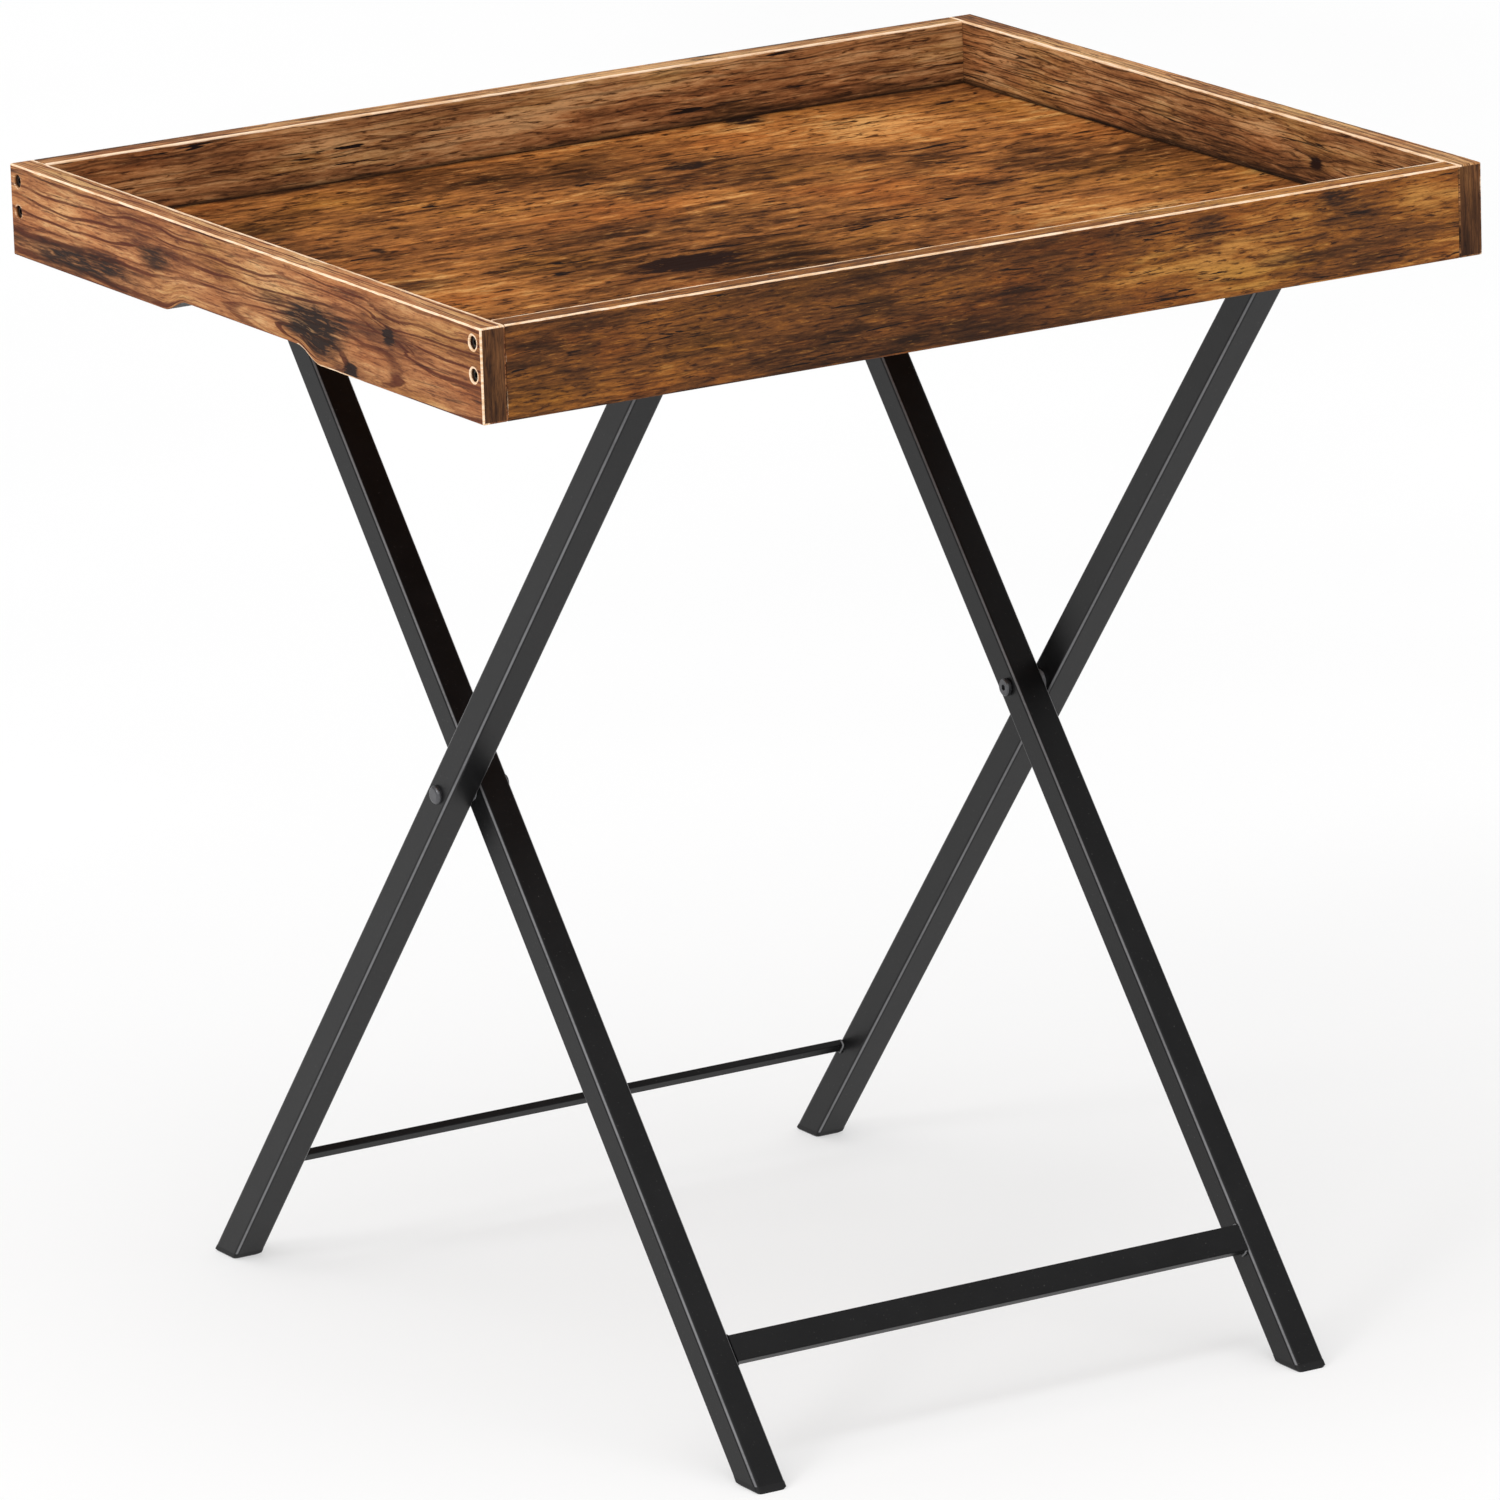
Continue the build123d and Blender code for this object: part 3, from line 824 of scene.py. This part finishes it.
left_wood = wood(
    "end_board_wood_figure", 2.0, WARM, tone(84, 38, 24), lines=210.0, line_share=0.9, fibre=0.6,
    crack=0.6, smoke=0.15, arch=((268.0, 8.0), (70.0, 14.0)), drift=(250, 400, 0.02, 0.0),
    spots=(((268, 16), (26, 10), 1.4), ((60, 8), (46, 6), 1.0), ((130, 21), (12, 5), 0.9),
           ((235, 22), (14, 4), 0.7)),
    knots=(((333, 24), (4.5, 4.0), 0.97), ((300, 2.5), (6, 4), 0.95)),
    # the long band at s 47 lightens the whole top face: painted light
    tides_and_painted_light=(((230, 32), (34, 6), 0.14), ((150, 8), (30, 6), 0.08), ((205, 47), (330, 6), 0.15)))
right_wood = wood(
    "right_board_wood_figure", 31.0, UMBER, tone(50, 29, 18), lines=300.0, line_share=0.75,
    fibre=0.75, crack=0.9, smoke=0.25, contrast=1.6, knots=(((300, 70), (5, 3), 0.85),),
    # the long bands at s 66 and s 47 lighten the whole inner face and top: painted light
    tides_and_painted_light=(((205, 66), (330, 12), 0.1), ((205, 47), (330, 6), 0.12)))
front_wood = wood(
    "front_board_wood_figure", 11.0, BROWN, tone(46, 25, 16), lines=240.0, line_share=0.4,
    fibre=0.9, crack=1.8, smoke=0.4, scale=(1.5, 1.15), drift=(240, 400, -0.06, 0.04),
    spots=(((413, 37), (10, 4.5), 0.97), ((347, 29), (9, 8), 0.6), ((385, 12.6), (14, 3), 0.75),
           ((38, 20), (6, 22), 0.4), ((247, 14), (12, 8), 0.55), ((420, 28), (14, 8), 0.45)),
    # the long band at s 47 lightens the whole top face: painted light
    tides_and_painted_light=(((140, 27), (24, 9), 0.14), ((310, 22), (36, 20), 0.1), ((462, 30), (22, 9), 0.16),
           ((240, 47), (400, 6), 0.22), ((436, 14), (44, 12), -0.10)))
back_wood = wood(
    "back_board_wood_figure", 47.0, UMBER, tone(46, 27, 17), lines=250.0, line_share=0.55,
    fibre=0.85, crack=1.2, smoke=0.3, contrast=1.7,
    # the long bands at s 66 and s 47 lighten the whole inner face and top: painted light
    tides_and_painted_light=(((240, 66), (400, 12), 0.1), ((240, 47), (400, 6), 0.1)))
floor_wood = wood(
    "floor_wood_figure", 23.0, MELLOW, tone(48, 26, 14), lines=70.0, line_share=0.35, fibre=0.9,
    crack=1.2, smoke=0.4, scale=(1.15, 0.36), contrast=1.5, gloss=0.02, roughness=0.7,
    spots=(((245, 288), (16, 20), 0.9), ((235, 222), (46, 24), 0.55), ((287, 318), (10, 8), 1.3),
           ((262, 300), (50, 24), 0.35), ((358, 384), (10, 8), 1.5), ((140, 392), (44, 8), 0.9),
           ((95, 257), (3, 4), 1.4), ((72, 188), (18, 12), 0.8)),
    knots=(((190, 152), (23, 14), 1.0),),
    tides_and_painted_light=(((348, 338), (60, 36), 0.12),))
cut_wood = wood("end_strip_wood_figure", 61.0, CUT, tone(34, 20, 14), lines=420.0, line_share=0.4,
                fibre=0.6, crack=0.4, smoke=0.2)
# the dark coat of the routed notch's underside is painted shade
notch_shade_coat = coat("notch_underside_painted_shade", tone(16, 14, 13), tone(40, 36, 33), 0.5, 1400.0, 0.00004,
              specular=0.15)

board("left_end_board_wrapped", "left_end_board", True, -1, "end_board_wood",
      (left_wood, cut_wood, notch_shade_coat), worn=(0.9, 0.95, 0.1, 0.1), ends=(0.1, 0.75),
      fade=NEAR_FADE, seed=22)
board("right_end_board_wrapped", "right_end_board", True, 1, "end_board_wood",
      (right_wood, cut_wood, notch_shade_coat), worn=(0.5, 0.85, 0.1, 0.1), ends=(0.3, 0.45),
      fade=FAR_FADE, seed=23)
board("front_board_wrapped", "front_board", False, -1, "long_board_wood",
      (front_wood, cut_wood), worn=(1.0, 0.85, 0.1, 0.12), ends=(0.5, 0.5),
      fade=NEAR_FADE, seed=19)
board("back_board_wrapped", "back_board", False, 1, "long_board_wood",
      (back_wood, cut_wood), worn=(0.3, 1.0, 0.1, 0.1), ends=(0.4, 0.4),
      fade=FAR_FADE, seed=18)
floor_panel(floor_wood)

# ---------------------------------------------------------------- carried-over nodes
# the frame's powder coat, with a painted highlight along its tube corners
powder = coat("satin_powder_coat", tone(11, 11, 12), tone(19, 19, 20), 0.36, 1500.0, 0.00004,
              specular=0.2, ridge_highlight=tone(116, 116, 118))
moulded = coat("moulded_plug", tone(14, 14, 15), tone(22, 22, 23), 0.55, 2400.0, 0.00005,
               specular=0.25)
oxide = coat("black_oxide_screw", tone(22, 21, 22), tone(46, 44, 43), 0.36, 2600.0, 0.00002,
             metallic=0.6)
plated = coat("dark_plated_pivot", tone(58, 58, 60), tone(100, 100, 103), 0.3, 2600.0, 0.00002,
              metallic=0.75)
nylon = coat("grey_nylon_washer", tone(104, 105, 108), tone(140, 141, 144), 0.5, 2200.0, 0.00003)

FINISHES = {"black_frame": powder, "black_plug": moulded, "black_screw": oxide,
            "pivot_hardware": plated, "spacer_nylon": nylon}
for part in frame["record"]["subparts"]:
    node = frame["nodes"][part["node"]]
    material = FINISHES.get(part["material_slot"])
    if material:
        if not node.material_slots:
            node.data.materials.append(material)
        for held in node.material_slots:
            held.link = "OBJECT"
            held.material = material

# ---------------------------------------------------------------- welds, in millimetres
BEAD = 1.25
BEAD_SIDES = 10
BEAD_STEP = 0.35
# a bead starts thin and thickens by this much at each step; it stops this share of its radius
# short of the bar's free face
BEAD_START, BEAD_GROWTH = 0.35, 0.22
BEAD_SHORT = 0.55
RIPPLE, RIPPLE_OFTEN = 0.09, 1.35
WOBBLE, WOBBLE_OFTEN = 0.07, 0.4
# each bar's width, thickness and free face's side, and the body that it is on
BARS = {"inner_lower_bar": (12.5, 5.0, -1, "inner_frame"),
        "outer_lower_bar": (5.0, 3.5, 1, "outer_frame"),
        "inner_top_rail": (8.0, 3.5, 1, "inner_frame"),
        "outer_top_rail": (8.0, 3.5, -1, "outer_frame")}
PIVOT_HEIGHT = [j for j in frame["joints"] if j["name"] == "stand_fold"][0]["pos_m"][2]


def lean_of(body):
    """A frame's lean about X, from where the middle of its left leg is."""
    lo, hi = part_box(body.replace("_frame", "_leg_left"))
    middle = (lo + hi) / 2
    return math.atan(-middle.y / (middle.z - PIVOT_HEIGHT))


def bead_path(wide, thick, face):
    """(across, through) of a bead's middle round three sides of a bar, in short steps."""
    stop = face * (thick / 2 - BEAD * BEAD_SHORT)
    corners = [(wide / 2, stop), (wide / 2, -face * thick / 2), (-wide / 2, -face * thick / 2),
               (-wide / 2, stop)]
    path = []
    for (a0, b0), (a1, b1) in zip(corners, corners[1:]):
        run = math.hypot(a1 - a0, b1 - b0)
        for k in range(round(run / BEAD_STEP)):
            t = k * BEAD_STEP / run
            path.append((a0 + (a1 - a0) * t, b0 + (b1 - b0) * t))
    return path + [corners[-1]]


def weld(bar, side):
    """A rippled bead round three sides of a bar's end, against the leg."""
    wide, thick, face, body = BARS[bar]
    lo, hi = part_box(bar)
    centre = (lo + hi) / 2
    turn = Matrix.Rotation(lean_of(body), 3, "X")
    across, through = turn @ UP, turn @ Vector((0, 1, 0))
    end = Vector((hi.x if side > 0 else lo.x, centre.y, centre.z))
    path = bead_path(wide, thick, face)
    last = len(path) - 1
    bm = bmesh.new()
    rings = []
    for k, (a, b) in enumerate(path):
        before, after = path[max(k - 1, 0)], path[min(k + 1, last)]
        ahead = Vector((after[0] - before[0], after[1] - before[1])).normalized()
        out = Vector((-ahead.y, ahead.x))
        taper = min(1.0, BEAD_START + min(k, last - k) * BEAD_GROWTH)
        ripple = 1 + RIPPLE * math.sin(k * RIPPLE_OFTEN)
        ripple += WOBBLE * noise.noise(Vector((k * WOBBLE_OFTEN, side, wide)))
        radius = BEAD * taper * ripple
        ring = []
        for m in range(BEAD_SIDES):
            angle = 2 * math.pi * m / BEAD_SIDES
            off, depth = radius * math.cos(angle), radius * math.sin(angle)
            at = end + (across * (a + out.x * off) + through * (b + out.y * off)) * MM
            ring.append(bm.verts.new(at - Vector((side * depth * MM, 0, 0))))
        rings.append(ring)
    for first, second in zip(rings, rings[1:]):
        for m in range(BEAD_SIDES):
            n = (m + 1) % BEAD_SIDES
            bm.faces.new((first[m], first[n], second[n], second[m]))
    for ring in (rings[0], rings[-1]):
        bm.faces.new(ring)
    for made in bm.faces:
        made.smooth = True
    name = "weld_" + bar + ("_right" if side > 0 else "_left")
    finished(bm, name, [powder], body, slot="black_frame", sharp=60)


for bar in BARS:
    for side in (-1, 1):
        weld(bar, side)

# ---------------------------------------------------------------- studio
FLOOR_REACH = 30.0
FLOOR_GLOW = 0.5
WHITE = (1.0, 1.0, 1.0, 1.0)
FLOOR_TONES = ((0.3, (0.44, 0.44, 0.44, 1)), (0.7, (0.46, 0.46, 0.46, 1)))
SKY_STRENGTH = 0.5
SUN_STRENGTH, SUN_WIDTH = 2.1, math.radians(100)
SUN_WAY = Vector((0.4, 0.35, -0.85))
BOX_PLACE, BOX_AIM = Vector((-2.9, -0.65, 2.3)), Vector((0.0, 0.0, 0.3))
BOX_SIZE, BOX_WATTS = 0.7, 18


def studio_floor():
    """A wide pale floor that glows a little, so that it stays plain and even."""
    bm = bmesh.new()
    bmesh.ops.create_grid(bm, x_segments=8, y_segments=8, size=FLOOR_REACH)
    mesh = bpy.data.meshes.new("studio_floor")
    bm.to_mesh(mesh)
    bm.free()
    g = Graph("studio_floor_white")
    place = g.add("ShaderNodeTexCoord").outputs["Object"]
    tint = g.noise(g.stretch(place, (1.5, 1.5, 1.5)), detail=2)
    mesh.materials.append(g.finish(
        Base_Color=g.ramp(tint, FLOOR_TONES), Emission_Color=WHITE, Emission_Strength=FLOOR_GLOW,
        Roughness=0.9, Specular_IOR_Level=0.1))
    ground = bpy.data.objects.new("studio_floor", mesh)
    bpy.context.scene.collection.objects.link(ground)


def lamp(name, kind, way, place=(0.0, 0.0, 0.0), **settings):
    """A light that shines along a direction."""
    data = bpy.data.lights.new(name, kind)
    for key, value in settings.items():
        setattr(data, key, value)
    light = bpy.data.objects.new(name, data)
    light.location = place
    light.rotation_mode = "QUATERNION"
    light.rotation_quaternion = way.to_track_quat("-Z", "Y")
    bpy.context.scene.collection.objects.link(light)


studio_floor()
world = bpy.data.worlds.new("studio")
world.use_nodes = True
world.node_tree.nodes["Background"].inputs["Color"].default_value = WHITE
world.node_tree.nodes["Background"].inputs["Strength"].default_value = SKY_STRENGTH
bpy.context.scene.world = world
lamp("sky_sun", "SUN", SUN_WAY, energy=SUN_STRENGTH, angle=SUN_WIDTH)
lamp("ridge_softbox", "AREA", BOX_AIM - BOX_PLACE, BOX_PLACE, shape="RECTANGLE", size=BOX_SIZE,
     size_y=BOX_SIZE, energy=BOX_WATTS)

# ---------------------------------------------------------------- camera
AZIMUTH, ELEVATION, ROLL = math.radians(31.0), math.radians(15.1), math.radians(-1.85)
LENS, SENSOR = 288.0, 36.0
DISTANCE = 5.29
TARGET = Vector((-0.0025, 0.0025, 0.2560))
forward = Vector((math.sin(AZIMUTH) * math.cos(ELEVATION),
                  math.cos(AZIMUTH) * math.cos(ELEVATION), -math.sin(ELEVATION)))
level = Vector((math.cos(AZIMUTH), -math.sin(AZIMUTH), 0.0))
upright = level.cross(forward)
right_axis = level * math.cos(ROLL) + upright * math.sin(ROLL)
up_axis = upright * math.cos(ROLL) - level * math.sin(ROLL)
camera_data = bpy.data.cameras.new("photo_camera")
camera_data.lens = LENS
camera_data.sensor_width = SENSOR
camera_data.clip_end = 100.0
camera = bpy.data.objects.new("photo_camera", camera_data)
pose = Matrix((right_axis, up_axis, -forward)).transposed().to_4x4()
pose.translation = TARGET - forward * DISTANCE
camera.matrix_world = pose
bpy.context.scene.collection.objects.link(camera)
bpy.context.scene.camera = camera
bpy.context.scene.view_settings.view_transform = "Standard"
